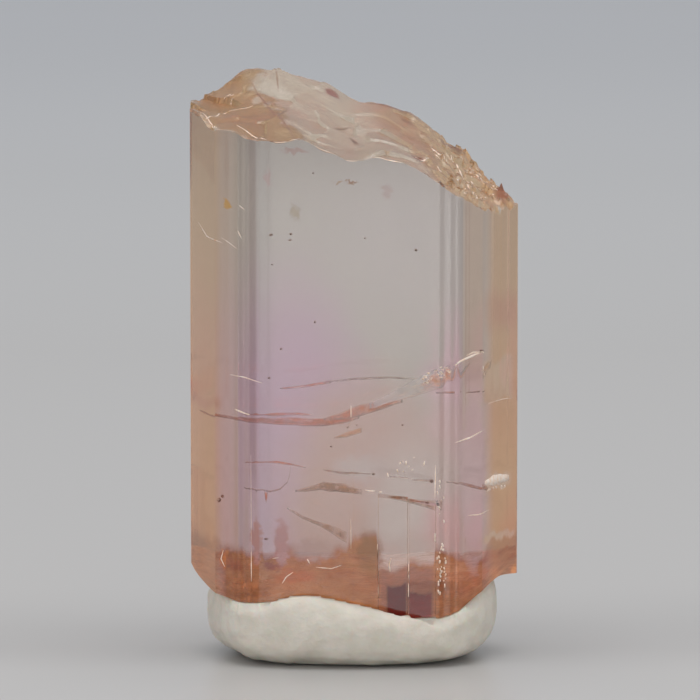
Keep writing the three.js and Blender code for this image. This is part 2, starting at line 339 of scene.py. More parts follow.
def window_tint(paint, place):
    """The broad faces' colour: soft zones that show from both sides."""
    x, y, z = paint.axes(place)
    wobble = paint.ramp(paint.noise(place, 0.35, 2.0), 0.2, 0.8, -ZONE_DRIFT, ZONE_DRIFT)
    drifted = paint.vector(paint.math("ADD", x, wobble), y, z)
    tint = CLEAR
    for (cx, cz), (rx, rz), softness, zone_tint in ZONES:
        inside = paint.blob(drifted, (cx, 0, cz), (rx, EVERYWHERE, rz), softness)
        tint = paint.mix(inside, tint, zone_tint)
    return tint


def flank_tint(paint, place):
    """The narrow side faces' colour, browner towards the crystal's edges."""
    x, y, z = paint.axes(place)
    outer, inner = [
        paint.mix(paint.ramp(z, *tints["rise"]), tints["foot"], tints["top"])
        for tints in (EDGE_TINTS, BEVEL_TINTS)
    ]
    return paint.mix(paint.ramp(paint.math("ABSOLUTE", x, 0), *EDGE_START), inner, outer)


# Painted shade: darkens the bands up the front's two edges
def with_shade_bands(paint, place, at_front, tint):
    x, y, z = paint.axes(place)
    for span, start, softness, shade_tint in SHADE_BANDS:
        inside = paint.band(x, *span, softness)
        rising = paint.ramp(z, start - BAND_RISE, start + BAND_RISE)
        inside = paint.math("MULTIPLY", paint.math("MULTIPLY", inside, rising), at_front)
        tint = paint.mix(inside, tint, paint.mix(1.0, tint, once(shade_tint), "MULTIPLY"))
    return tint


def with_base(paint, place, at_front, raised, tint):
    """Adds the brown base, cloudy and with a ragged upper edge."""
    x, y, z = paint.axes(place)
    over = paint.math("SUBTRACT", raised, paint.profile(x, BASE_EDGE, BASE_MOST))
    below = paint.math("MULTIPLY", paint.ramp(over, *BASE_SOFT, 1.0, 0.0), at_front)
    clouds = paint.noise(paint.stretch(place, (1, 1, 1.6)), 1.1, 4.0, 0.65)
    cloud = paint.ramp(clouds, 0.35, 0.65)
    stain = paint.mix(cloud, once(BASE_TINTS["pale"]), once(BASE_TINTS["deep"]))
    outer = paint.ramp(paint.math("ABSOLUTE", x, 0), *FLANK_START, 0.0, 1 - FLANK_SHARE)
    side = paint.math("MULTIPLY", paint.attribute("flank"), outer)
    return paint.mix(paint.math("MULTIPLY", below, paint.math("SUBTRACT", 1.0, side)), tint, stain)


def with_stains(paint, place, tint):
    x, y, z = paint.axes(place)
    torn = paint.ramp(paint.noise(place, 3.5, 3.0, 0.6), 0.25, 0.75, -STAIN_TEAR, STAIN_TEAR)
    torn_place = paint.vector(paint.math("ADD", x, torn), y, paint.math("SUBTRACT", z, torn))
    for (cx, cz), (rx, rz), softness, stain in STAINS:
        inside = paint.blob(torn_place, (cx, FRONT, cz), (rx, STAIN_DEPTH, rz), softness)
        tint = paint.mix(inside, tint, once(stain))
    return tint


def with_patches(paint, place, at_front, raised, tint):
    x, y, z = paint.axes(place)
    for span, heights, softness, patch_tint in PATCHES:
        inside = paint.band(x, *span, softness)
        upright = paint.band(raised, *heights, softness)
        inside = paint.math("MULTIPLY", paint.math("MULTIPLY", inside, upright), at_front)
        tint = paint.mix(inside, tint, once(patch_tint))
    return tint


def front_tint(paint, place, tint):
    """Adds the painted shade bands, the base, stains and patches, one of them a painted highlight, that
    show on the front faces only.
    """
    x, y, z = paint.axes(place)
    at_front = paint.ramp(y, *FRONT_FADE, 1.0, 0.0)
    tears = paint.noise(paint.stretch(place, (1, 1, 0.4)), 1.1, 4.0)
    raised = paint.math("ADD", z, paint.ramp(tears, 0.3, 0.7, -BASE_TEAR, BASE_TEAR))
    tint = with_shade_bands(paint, place, at_front, tint)
    tint = with_base(paint, place, at_front, raised, tint)
    tint = with_stains(paint, place, tint)
    return with_patches(paint, place, at_front, raised, tint)


def striae(paint, place):
    """Growth lines up the prism's faces."""
    broad = paint.noise(paint.stretch(place, (1, 1, 0.02)), 5.0, 4.0, 0.6)
    fine = paint.noise(paint.stretch(place, (1, 1, 0.05)), 22.0, 2.0)
    return paint.math("ADD", broad, paint.math("MULTIPLY", fine, 0.25))


def prism_material():
    """The crystal's clear inside and its side faces. The narrow ones are more finely striated."""
    paint = Paint("tanzanite")
    place = paint.place()
    flank = paint.attribute("flank")
    tint = paint.mix(flank, window_tint(paint, place), flank_tint(paint, place))
    grooves = paint.math("MULTIPLY", striae(paint, place), paint.ramp(flank, 0, 1, 0.27, 1.0))
    paint.set(
        base_color=front_tint(paint, place, tint),
        roughness=paint.ramp(flank, 0, 1, 0.02, 0.08),
        ior=CRYSTAL_IOR,
        transmission_weight=1.0,
        normal=paint.bump(grooves, 0.0015),
    )
    paint.absorb(**ABSORPTION)
    return paint.material


TOP_TINTS = {
    "lobe": srgb(196, 153, 95),
    "middle": srgb(224, 207, 182),
    "right": srgb(220, 182, 132),
    "fleck": srgb(168, 104, 66),
    "rim": srgb(250, 240, 226),
}

# Marks on the top break, the thin dark lines among them painted shade along its creases: place, reach
# in X and Y in mm, turn in degrees, softness and the colour as seen, from 0 to 255
TOP_MARKS = [
    ((-4.4, -1.4), (1.0, 0.9), -15, 0.4, (198, 149, 98)),
    ((-5.7, 1.6), (0.8, 0.6), 20, 0.5, (206, 152, 96)),
    ((-3.85, 0.9), (0.24, 0.36), 0, 0.3, (228, 212, 184)),
    # Painted shade: the thin dark lines along the creases, here and below
    ((-3.2, -0.7), (0.05, 3.6), 16.5, 0.4, (176, 128, 92)),
    ((-3.1, 2.8), (0.04, 0.8), 4, 0.4, (186, 146, 112)),
    ((-2.85, -0.6), (0.05, 1.0), -12, 0.4, (160, 120, 92)),
    ((-0.88, 3.1), (0.28, 0.4), 0, 0.3, (166, 84, 66)),
    ((-0.55, 0.1), (0.05, 0.8), -27, 0.4, (156, 120, 96)),
    ((0.0, -0.7), (0.1, 0.3), 30, 0.4, (150, 112, 88)),
    ((2.0, 2.0), (1.1, 2.2), 20, 0.6, (208, 164, 120)),
    ((2.15, 2.8), (0.25, 0.2), 0, 0.4, (160, 106, 72)),
    ((2.55, -2.2), (0.2, 0.5), -20, 0.4, (158, 88, 50)),
    ((1.6, 3.65), (1.0, 0.14), -8, 0.5, (140, 84, 60)),
    ((4.0, 3.1), (0.5, 0.2), -15, 0.5, (140, 84, 60)),
    ((5.95, 0.5), (0.25, 1.4), -5, 0.5, (180, 104, 54)),
]
TOP_MARK_DEPTH = 20.0
TOP_HEIGHT = 20.0


def top_break_material():
    """The upper break: a waxy, slightly milky shell-like fracture, crushed at its right end."""
    paint = Paint("tanzanite_top_break")
    place = paint.place()
    x, y, z = paint.axes(place)
    slanted = paint.math("ADD", x, paint.math("MULTIPLY", y, 0.3))
    cloud = paint.noise(place, 0.8, 4.0, 0.6)
    drifted = paint.math("ADD", slanted, paint.ramp(cloud, 0.2, 0.8, -0.6, 0.6))
    colour = paint.mix(paint.ramp(drifted, -3.3, -2.9), TOP_TINTS["lobe"], TOP_TINTS["middle"])
    colour = paint.mix(paint.ramp(drifted, 1.2, 2.6), colour, TOP_TINTS["right"])
    flecks = paint.ramp(paint.noise(place, 2.6, 4.0, 0.7), 0.60, 0.72)
    colour = paint.mix(paint.math("MULTIPLY", flecks, 0.55), colour, TOP_TINTS["fleck"])
    for (cx, cy), (rx, ry), turn, softness, shown in TOP_MARKS:
        centre, radii = (cx, cy, TOP_HEIGHT), (rx, ry, TOP_MARK_DEPTH)
        inside = paint.blob(place, centre, radii, softness, math.radians(turn))
        colour = paint.mix(inside, colour, srgb(*shown))
    # The pale front rim: partly chips, partly a painted highlight along the edge
    chips_and_highlight = paint.ramp(paint.noise(place, 2.0, 3.0, 0.6), 0.45, 0.6)
    rim = paint.math("MULTIPLY", paint.attribute("rim"), chips_and_highlight)
    relief = paint.noise(place, 6.0, 5.0, 0.6)
    paint.set(
        base_color=paint.mix(rim, colour, TOP_TINTS["rim"]),
        roughness=0.25,
        ior=CRYSTAL_IOR,
        transmission_weight=0.75,
        normal=paint.bump(relief, 0.03),
    )
    return paint.material


def lower_break_material():
    """The crystal's lower break, pressed in putty."""
    paint = Paint("tanzanite_lower_break")
    place = paint.place()
    cloud = paint.ramp(paint.noise(place, 0.9, 4.0, 0.6), 0.3, 0.7)
    paint.set(
        base_color=paint.mix(cloud, (1.0, 0.88, 0.78), (0.95, 0.74, 0.62)),
        roughness=0.28,
        ior=CRYSTAL_IOR,
        transmission_weight=0.9,
        normal=paint.bump(cloud, 0.05),
    )
    return paint.material


def outline_points():
    """Points along the section's edge, and how much each one's side faces front or back."""
    points, facings = [], []
    for (x0, y0), (x1, y1) in zip(SECTION, SECTION[1:] + SECTION[:1]):
        length = math.hypot(x1 - x0, y1 - y0)
        steps = math.ceil(length / OUTLINE_STEP)
        for i in range(steps):
            points.append((x0 + (x1 - x0) * i / steps, y0 + (y1 - y0) * i / steps))
            facings.append(1 if length < STEP_LENGTH else (x1 - x0) / length)
    return np.array(points), facings


def distance_inside(points, outline):
    """Each point's distance from the outline, negative outside it."""
    start, end = outline, np.roll(outline, -1, axis=0)
    along = end - start
    gap = points[:, None, :] - start[None]
    share = np.clip((gap * along).sum(2) / (along**2).sum(1), 0, 1)
    away = np.linalg.norm(gap - share[..., None] * along, axis=2).min(1)
    above = (start[:, 1] > points[:, None, 1]) != (end[:, 1] > points[:, None, 1])
    run = np.where(along[:, 1] == 0, 1, along[:, 1])
    crossing = start[:, 0] + (points[:, None, 1] - start[:, 1]) * along[:, 0] / run
    crossed = (above & (points[:, None, 0] < crossing)).sum(1) % 2 == 1
    return np.where(crossed, away, -away)


def break_plan():
    """Points over the whole section, the outline's first, and the triangles between them."""
    outline, facings = outline_points()
    side = np.roll(outline, -1, axis=0) - outline
    inward = np.stack([-side[:, 1], side[:, 0]], axis=1) / np.linalg.norm(side, axis=1)[:, None]
    middles = outline + side / 2
    rings = [middles + inward * RIM_RINGS[0], outline + inward * RIM_RINGS[1]]
    rows = np.arange(FRONT, BACK, GRID_STEP * math.sqrt(0.75))
    columns = np.arange(-6.6, 6.6, GRID_STEP)
    grid = [(x + (i % 2) * GRID_STEP / 2, y) for i, y in enumerate(rows) for x in columns]
    layers = [
        (rings[0], RIM_RINGS[0]),
        (rings[1], RIM_RINGS[1]),
        (np.array(grid), RIM_RINGS[1] + GRID_STEP / 2),
    ]
    kept = [layer[distance_inside(layer, outline) > 0.9 * least] for layer, least in layers]
    points = np.concatenate([outline, *kept])
    flat = [Vector(p) for p in points]
    made = geometry.delaunay_2d_cdt(flat, [], [list(range(len(outline)))], 1, 1e-6)
    triangles = [tuple(t) for t in made[2]]
    points = np.array([tuple(p) for p in made[0]])
    return points, triangles, len(outline), facings


def tree_of(mesh):
    """A mesh to cast rays at, in mm."""
    return BVHTree.FromPolygons([v.co / MM for v in mesh.vertices], [p.vertices for p in mesh.polygons])


def cad_height(tree, x, y, upper):
    """Height of one of the CAD's breaks, read nearer the axis where a ray slips past its rim."""
    start, aim = (ABOVE, -1) if upper else (BELOW, 1)
    for share in NEARER:
        hit = tree.ray_cast(Vector((x * share, y * share, start)), Vector((0, 0, aim)))[0]
        if hit is not None and (hit.z > TOP_FROM if upper else hit.z < BOTTOM_TO):
            return hit.z
    raise ValueError(f"the CAD has no break at {x:.2f}, {y:.2f}")


def cad_heights(tree, points, upper):
    """Heights of one break, read behind the channels where they cut it."""
    heights = []
    for x, y in points:
        for channel in CHANNELS:
            left, right = channel["left"] - BESIDE_CHANNEL, channel["right"] + BESIDE_CHANNEL
            if not upper and left < x < right:
                y = max(y, FRONT + channel["depth"] + BEHIND_CHANNEL)
        heights.append(cad_height(tree, x, y, upper))
    return np.array(heights)


def smoothed(heights, triangles):
    """Heights with the CAD's coarse facets rounded off."""
    pairs = np.array([(a, b) for t in triangles for a, b in zip(t, t[1:] + t[:1])])
    for _ in range(SMOOTHING):
        total = np.zeros(len(heights))
        count = np.zeros(len(heights))
        for here, there in (pairs.T, pairs.T[::-1]):
            np.add.at(total, here, heights[there])
            np.add.at(count, here, 1)
        heights = (heights + total / np.maximum(count, 1)) / 2
    return heights


# The top break's relief in mm: its ripple, its shell-like facets, the grains of its crushed right
# end, which starts and is full at these places along X, and the chips along its rim
RIPPLE = 0.05
SHELL = {"size": 1.6, "drift": 0.3, "height": 0.28}
CRUSHED = {"from": 2.3, "full": 3.6, "grains": (0.62, 0.27), "height": 0.9}
CHIP = {"reach": 0.16, "depth": 0.12}


def crushed_share(x):
    return min(1, max(0, (x - CRUSHED["from"]) / (CRUSHED["full"] - CRUSHED["from"])))


def facets(x, y, size):
    """Height of grains of about this size, each with a flat top that tilts its own way."""
    where = Vector((x / size, y / size, size))
    centre = noise.voronoi(where)[1][0]
    tilt_x = noise.noise(centre * 7.3)
    tilt_y = noise.noise(centre * 7.3 + Vector((9.3, 1.5, 7.9)))
    return size * (tilt_x * (where.x - centre.x) + tilt_y * (where.y - centre.y))


def top_relief(x, y, away):
    """Height added to the top break at a point in mm that is so far from its rim."""
    crushed = crushed_share(x)
    ripple = noise.noise(Vector((x * 0.9, y * 0.9, 3.0)))
    shell = SHELL["height"] * facets(x + SHELL["drift"] * ripple, y, SHELL["size"])
    grains = CRUSHED["height"] * sum(facets(x, y, size) for size in CRUSHED["grains"])
    chip = max(0, 1 - away / CHIP["reach"]) * max(0, noise.noise(Vector((x * 2.2, y * 2.2, 9.0))))
    return RIPPLE * ripple + (1 - crushed) * shell + crushed * grains - CHIP["depth"] * chip


def crystal_mesh():
    points, triangles, rim_count, facings = break_plan()
    tree = tree_of(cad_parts["tanzanite_crystal"].data)
    away = distance_inside(points, points[:rim_count])
    upper = smoothed(cad_heights(tree, points, True), triangles)
    upper += np.array([top_relief(x, y, max(0, a)) for (x, y), a in zip(points, away)])
    lower = smoothed(cad_heights(tree, points, False), triangles)
    count = len(points)
    ends = (upper, lower)
    verts = [(x * MM, y * MM, z * MM) for end in ends for (x, y), z in zip(points, end)]
    faces = list(triangles) + [tuple(count + i for i in reversed(t)) for t in triangles]
    slots = [TOP_BREAK] * len(triangles) + [LOWER_BREAK] * len(triangles)
    for i in range(rim_count):
        j = (i + 1) % rim_count
        faces.append((count + i, count + j, j, i))
        slots.append(PRISM if abs(facings[i]) > 0.9 else FLANK)
    mesh = bpy.data.meshes.new("crystal")
    mesh.from_pydata(verts, [], faces)
    mesh.polygons.foreach_set("material_index", slots)
    # The pale rim, partly a painted highlight, on the front half only
    rim = mesh.attributes.new("rim", "FLOAT", "POINT")
    near = np.clip(1 - np.maximum(away, 0) / RIM_REACH, 0, 1) * (points[:, 1] < 1)
    rim.data.foreach_set("value", np.concatenate([near, near]))
    return mesh


def channel_cutter():
    """The channels' slabs as one mesh, each cut into the front face with a sloping top."""
    bm = bmesh.new()
    for channel in CHANNELS:
        ends = []
        for deep in (CUTTER_START, channel["depth"]):
            left, right = channel["left"] + deep * SIDE_SLOPE, channel["right"] - deep * SIDE_SLOPE
            tops = [channel[top] - deep * HEAD_SLOPE for top in ("top_right", "top_left")]
            face = [(left, -deep), (right, -deep), (right, tops[0]), (left, tops[1])]
            ends.append([bm.verts.new((x * MM, (FRONT + deep) * MM, z * MM)) for x, z in face])
        bm.faces.new(ends[0])
        bm.faces.new(reversed(ends[1]))
        for i in range(4):
            j = (i + 1) % 4
            bm.faces.new((ends[0][j], ends[0][i], ends[1][i], ends[1][j]))
    mesh = bpy.data.meshes.new("channels")
    bm.to_mesh(mesh)
    bm.free()
    cutter = bpy.data.objects.new("channels", mesh)
    bpy.context.scene.collection.objects.link(cutter)
    return cutter


def cut_channels(crystal, cutter):
    """Cuts the channels into the crystal and marks the narrow side faces of the result."""
    cut = crystal.modifiers.new("cut", "BOOLEAN")
    cut.operation = "DIFFERENCE"
    cut.solver = "EXACT"
    cut.object = cutter
    shaped = crystal.evaluated_get(bpy.context.evaluated_depsgraph_get())
    mesh = bpy.data.meshes.new_from_object(shaped)
    crystal.modifiers.clear()
    crystal.data = mesh
    bpy.data.objects.remove(cutter)
    flank = mesh.attributes.new("flank", "FLOAT", "FACE")
    for polygon, mark in zip(mesh.polygons, flank.data):
        mark.value = float(polygon.material_index == FLANK)
        whole = polygon.center.x < CRUSHED["full"] * MM or polygon.material_index == LOWER_BREAK
        polygon.use_smooth = whole and polygon.material_index in (TOP_BREAK, LOWER_BREAK)
    mesh.set_sharp_from_angle(angle=SHARP_ANGLE)


def detailed_crystal():
    """The crystal's solid with finer breaks. Its walls stay as flat as the CAD's."""
    crystal = bpy.data.objects.new("crystal", crystal_mesh())
    bpy.context.scene.collection.objects.link(crystal)
    materials = [prism_material(), top_break_material(), lower_break_material()]
    cutter = channel_cutter()
    for piece in (crystal, cutter):
        for material in (*materials, materials[PRISM]):
            piece.data.materials.append(material)
    cut_channels(crystal, cutter)
    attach(crystal, "root")
    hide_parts("tanzanite_crystal")
    return crystal


def seen(x, z, depth):
    """The place so many mm behind the front face that shows at (x, z) on it, by refraction."""
    run = (FRONT - EYE.y) * CRYSTAL_IOR
    return Vector((x + (x - EYE.x) * depth / run, FRONT + depth, z - (EYE.z - z) * depth / run))


def along(line, step):
    """Points on a line, no further apart than step in their first two values."""
    points = []
    for start, end in zip(line, line[1:]):
        steps = math.ceil(math.dist(start[:2], end[:2]) / step)
        points += [tuple(a + (b - a) * i / steps for a, b in zip(start, end)) for i in range(steps)]
    return points + [line[-1]]


def add_piece(name, bm, material):
    """A piece of the crystal's inside, made from verts in mm."""
    bmesh.ops.scale(bm, vec=(MM, MM, MM), verts=bm.verts)
    bmesh.ops.recalc_face_normals(bm, faces=bm.faces)
    mesh = bpy.data.meshes.new(name)
    bm.to_mesh(mesh)
    bm.free()
    mesh.shade_smooth()
    mesh.materials.append(material)
    piece = bpy.data.objects.new(name, mesh)
    bpy.context.scene.collection.objects.link(piece)
    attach(piece, "root")


# Fractures and stained planes, whose tints are partly their stain and partly painted reflection and
# shade, the colours a crack shows by reflecting light inside the crystal: each one's stain, where it
# starts and ends behind the front face in mm, how much it undulates, and the line of (X, lower Z, upper
# Z) that it covers in the front view
FRACTURES = {
    "veil_left": ("brown", (0.1, 5.2), 0.04, [
        (-5.5, 9.92, 10.08), (-5.0, 9.84, 10.06), (-4.08, 9.7, 9.94), (-3.2, 9.64, 9.88),
        (-2.5, 9.58, 9.92), (-1.14, 9.54, 9.86), (-0.4, 9.66, 9.9), (0.2, 9.86, 10.0)]),
    "veil_shadow": ("brown", (1.5, 4.0), 0.03, [
        (-3.8, 9.98, 10.0), (-3.0, 9.96, 10.08), (-2.2, 9.98, 10.1), (-1.6, 9.98, 10.0)]),
    "veil_wedge": ("red", (0.3, 5.6), 0.04, [
        (-1.2, 9.76, 9.84), (-0.3, 9.82, 10.2), (0.3, 9.96, 10.44), (1.2, 10.26, 10.56),
        (1.9, 10.5, 10.7)]),
    "veil_right": ("peach", (0.1, 5.4), 0.03, [
        (0.6, 10.2, 10.45), (1.8, 10.56, 11.05), (2.6, 10.8, 11.5), (3.3, 11.0, 11.85),
        (3.9, 11.5, 12.05)]),
    "thin_crack_left": ("brown", (0.1, 3.2), 0.02, [
        (-2.9, 11.02, 11.06), (-1.9, 11.08, 11.18), (-0.9, 11.24, 11.36)]),
    "thin_crack": ("dark", (0.1, 3.2), 0.02, [
        (-1.2, 11.26, 11.3), (-0.16, 11.36, 11.44), (0.8, 11.42, 11.5), (1.7, 11.42, 11.5),
        (2.5, 11.38, 11.44)]),
    "veil_dash": ("dark", (1.0, 2.0), 0.02, [
        (3.2, 10.84, 10.9), (3.84, 10.83, 10.92)]),
    "veil_dash_right": ("dark", (1.0, 2.0), 0.02, [
        (4.15, 10.84, 10.9), (4.75, 10.85, 10.92)]),
    "under_veil": ("peach", (1.5, 3.5), 0.04, [
        (-0.8, 9.05, 9.1), (-0.3, 9.1, 9.35), (0.3, 9.3, 9.5)]),
    "curl_left": ("brown", (1.2, 2.4), 0.03, [
        (-3.95, 8.08, 8.12), (-3.5, 8.12, 8.17), (-3.0, 8.1, 8.18), (-2.5, 8.0, 8.08),
        (-1.9, 7.9, 7.94)]),
    "curl_loop": ("dark", (1.4, 2.2), 0.02, [
        (-2.48, 7.95, 8.0), (-2.52, 7.63, 7.7), (-2.62, 7.3, 7.38), (-2.9, 7.04, 7.12),
        (-3.3, 6.94, 7.02), (-4.0, 7.1, 7.16)]),
    "drop": ("brown", (1.4, 2.2), 0.02, [
        (-3.52, 6.9, 7.0), (-3.46, 6.5, 6.96), (-3.4, 6.7, 6.98)]),
    "wedge_brown": ("olive", (1.0, 4.6), 0.07, [
        (-2.3, 6.96, 7.0), (-1.73, 6.98, 7.2), (-1.2, 7.0, 7.38), (-0.5, 6.92, 7.3), (0.3, 6.9, 7.06)]),
    "dark_dashes": ("dark", (1.2, 2.0), 0.05, [
        (-1.2, 7.8, 7.86), (-0.55, 7.66, 7.76), (0.23, 7.66, 7.74), (0.82, 7.64, 7.68)]),
    "olive_band": ("olive", (0.5, 3.0), 0.02, [
        (0.98, 6.74, 6.86), (1.8, 6.6, 6.76), (2.6, 6.38, 6.66), (3.22, 6.2, 6.62)]),
    "right_dashes": ("dark", (1.2, 2.0), 0.02, [
        (1.4, 7.53, 7.58), (2.0, 7.51, 7.56), (2.3, 7.4, 7.46), (3.1, 7.36, 7.44)]),
    "right_line": ("dark", (0.8, 2.0), 0.02, [
        (3.6, 7.33, 7.38), (4.35, 7.15, 7.22), (5.1, 6.96, 7.0)]),
    "low_curl": ("olive", (1.2, 4.0), 0.05, [
        (-2.63, 6.3, 6.34), (-2.12, 5.96, 6.06), (-1.53, 5.66, 5.84), (-0.95, 5.36, 5.7),
        (-0.3, 4.96, 5.4)]),
}

# Each stain's lighter and darker tint, partly painted reflection and shade, and the size of its patches
# as a noise scale
VEIL_STAINS_AND_REFLECTIONS = {
    "brown": {"light": (0.97, 0.36, 0.13), "dark": (0.74, 0.19, 0.04), "scale": 2.2},
    "red": {"light": (0.99, 0.45, 0.20), "dark": (0.85, 0.27, 0.09), "scale": 2.6},
    "dark": {"light": (0.74, 0.43, 0.27), "dark": (0.38, 0.20, 0.12), "scale": 4.0},
    "peach": {"light": (1.0, 0.72, 0.38), "dark": (0.98, 0.53, 0.23), "scale": 2.4},
    "olive": {"light": (0.78, 0.50, 0.26), "dark": (0.46, 0.25, 0.10), "scale": 3.4},
}
VEIL_IOR = 1.01
VEIL_CLEAR = (1.0, 0.96, 0.94)

# How much tint is left where a veil's tint is sparse, and how fast it comes in from the veil's edge
VEIL_LEAST = 0.4
SHEET_FADE = 1.7

# A sheet's step along its line and its thickness in mm, its rows of faces front to back, how thin
# it gets at its rim, how narrow at its ends and how unevenly wide, as shares, and its ripples as
# (size of their noise along X and Y, share)
SHEET_STEP = 0.1
SHEET_THICKNESS = 0.03
SHEET_ROWS = 14
SHEET_THINNEST = 0.08
SHEET_NARROWEST = 0.1
SHEET_UNEVEN = 0.45
SHEET_RIPPLES = (((1.1, 0.7), 1.0), ((3.7, 1.9), 0.4))


def veil_material(name, light, dark, scale):
    """A stained fracture, its tint partly painted reflection and shade: it tints what is seen through
    it, in patches that fade out at its rim.
    """
    paint = Paint("fracture_" + name)
    place = paint.stretch(paint.place(), (1, 0.15, 1))
    patches = paint.ramp(paint.noise(place, scale, 5.0, 0.7), 0.34, 0.62)
    sparse_cover = paint.ramp(paint.noise(place, 0.9 * scale, 4.0, 0.7), 0.38, 0.56, VEIL_LEAST, 1.0)
    cover = paint.math("MULTIPLY", paint.attribute("fade"), sparse_cover)
    paint.set(
        base_color=paint.mix(cover, VEIL_CLEAR, paint.mix(patches, light, dark)),
        roughness=0.1,
        ior=VEIL_IOR,
        transmission_weight=1.0,
        normal=paint.bump(patches, 0.02),
    )
    return paint.material


def half_width(x, share, seed):
    """A sheet's half width there, as a share of its span's. It narrows unevenly to its ends."""
    width = math.sqrt(max(SHEET_NARROWEST, 1 - (2 * share - 1) ** 2))
    return width * min(1.0, 1 + SHEET_UNEVEN * noise.noise(Vector((x * 1.3, seed, 0))))


def rippled(x, depth, seed):
    """How far a sheet rises there, from about -1 to 1."""
    total = 0
    for offset, ((along_x, along_y), share) in zip((0, 5), SHEET_RIPPLES):
        total += share * noise.noise(Vector((x * along_x, depth * along_y, seed + offset)))
    return total


def sheet(name, line, span, wave, material):
    """A thin closed lens. Its front edge shows on the line's lower side, its rear edge on the upper."""
    seed = float(sum(map(ord, name)) % 97)
    points = along(line, SHEET_STEP)
    last = len(points) - 1
    bm = bmesh.new()
    fade = bm.verts.layers.float.new("fade")
    tops, bottoms = [], []
    for i, (x, low, high) in enumerate(points):
        share = i / last
        half = (span[1] - span[0]) / 2 * half_width(x, share, seed)
        top_row, bottom_row = [], []
        for j in range(SHEET_ROWS + 1):
            across = 2 * j / SHEET_ROWS - 1
            depth = sum(span) / 2 + half * across
            height = low + (high - low) * (across + 1) / 2 + wave * rippled(x, depth, seed)
            place = seen(x, height, depth)
            edge = min(1 - abs(across), 6 * min(share, 1 - share))
            half_thick = SHEET_THICKNESS / 2 * max(SHEET_THINNEST, min(1, edge * 2))
            top_row.append(bm.verts.new(place + Vector((0, 0, half_thick))))
            rim = j in (0, SHEET_ROWS) or i in (0, last)
            lower = top_row[-1] if rim else bm.verts.new(place - Vector((0, 0, half_thick)))
            bottom_row.append(lower)
            for vert in (top_row[-1], lower):
                vert[fade] = min(1, edge * SHEET_FADE)
        tops.append(top_row)
        bottoms.append(bottom_row)
    for rows in (tops, bottoms):
        for a, b in zip(rows, rows[1:]):
            for j in range(SHEET_ROWS):
                corners = (a[j], a[j + 1], b[j + 1], b[j])
                if bm.faces.get(corners) is None:
                    bm.faces.new(corners)
    add_piece(name, bm, material)


def make_fractures():
    veil_materials = {name: veil_material(name, **stain) for name, stain in VEIL_STAINS_AND_REFLECTIONS.items()}
    for name, (stain, span, wave, line) in FRACTURES.items():
        sheet(name, line, span, wave, veil_materials[stain])


# Small dark crystals shut in near the front, as (X, Z, size, depth behind the front face) in mm
INCLUSIONS = [
    (-1.6, 19.48, 0.05, 1.0), (-3.25, 17.06, 0.06, 0.8), (-2.47, 17.1, 0.05, 1.6),
    (-2.5, 16.86, 0.06, 1.5), (0.43, 16.94, 0.05, 2.0), (2.42, 16.47, 0.05, 1.2),
    (-3.2, 15.9, 0.04, 2.4), (-1.53, 13.65, 0.05, 1.0), (-2.86, 12.59, 0.05, 0.6),
    (-3.33, 11.45, 0.05, 1.4), (-0.25, 9.5, 0.06, 1.2), (-0.9, 8.75, 0.06, 2.0),
    (0.1, 9.6, 0.04, 0.8), (3.05, 7.38, 0.07, 1.6), (0.75, 7.66, 0.06, 1.4), (-3.45, 5.1, 0.07, 1.2),
    (-5.3, 6.6, 0.08, 0.9), (-5.1, 6.75, 0.08, 1.1), (1.9, 9.6, 0.06, 2.6), (4.9, 12.5, 0.05, 1.0),
]


def dark_mineral():
    paint = Paint("inclusions")
    mottled = paint.ramp(paint.noise(paint.place(), 9.0, 3.0), 0.3, 0.7)
    paint.set(base_color=paint.mix(mottled, srgb(190, 150, 130), srgb(130, 100, 92)), roughness=0.5)
    return paint.material


def make_inclusions():
    bm = bmesh.new()
    for x, z, size, depth in INCLUSIONS:
        made = bmesh.ops.create_icosphere(bm, subdivisions=1, radius=size)["verts"]
        stretch = Vector((1.2 + 0.3 * math.sin(9 * x), 0.8, 0.9 + 0.3 * math.sin(7 * z)))
        for vert in made:
            vert.co = seen(x, z, depth) + vert.co * stretch * (1 + 0.3 * noise.noise(vert.co * 40))
    add_piece("inclusions", bm, dark_mineral())


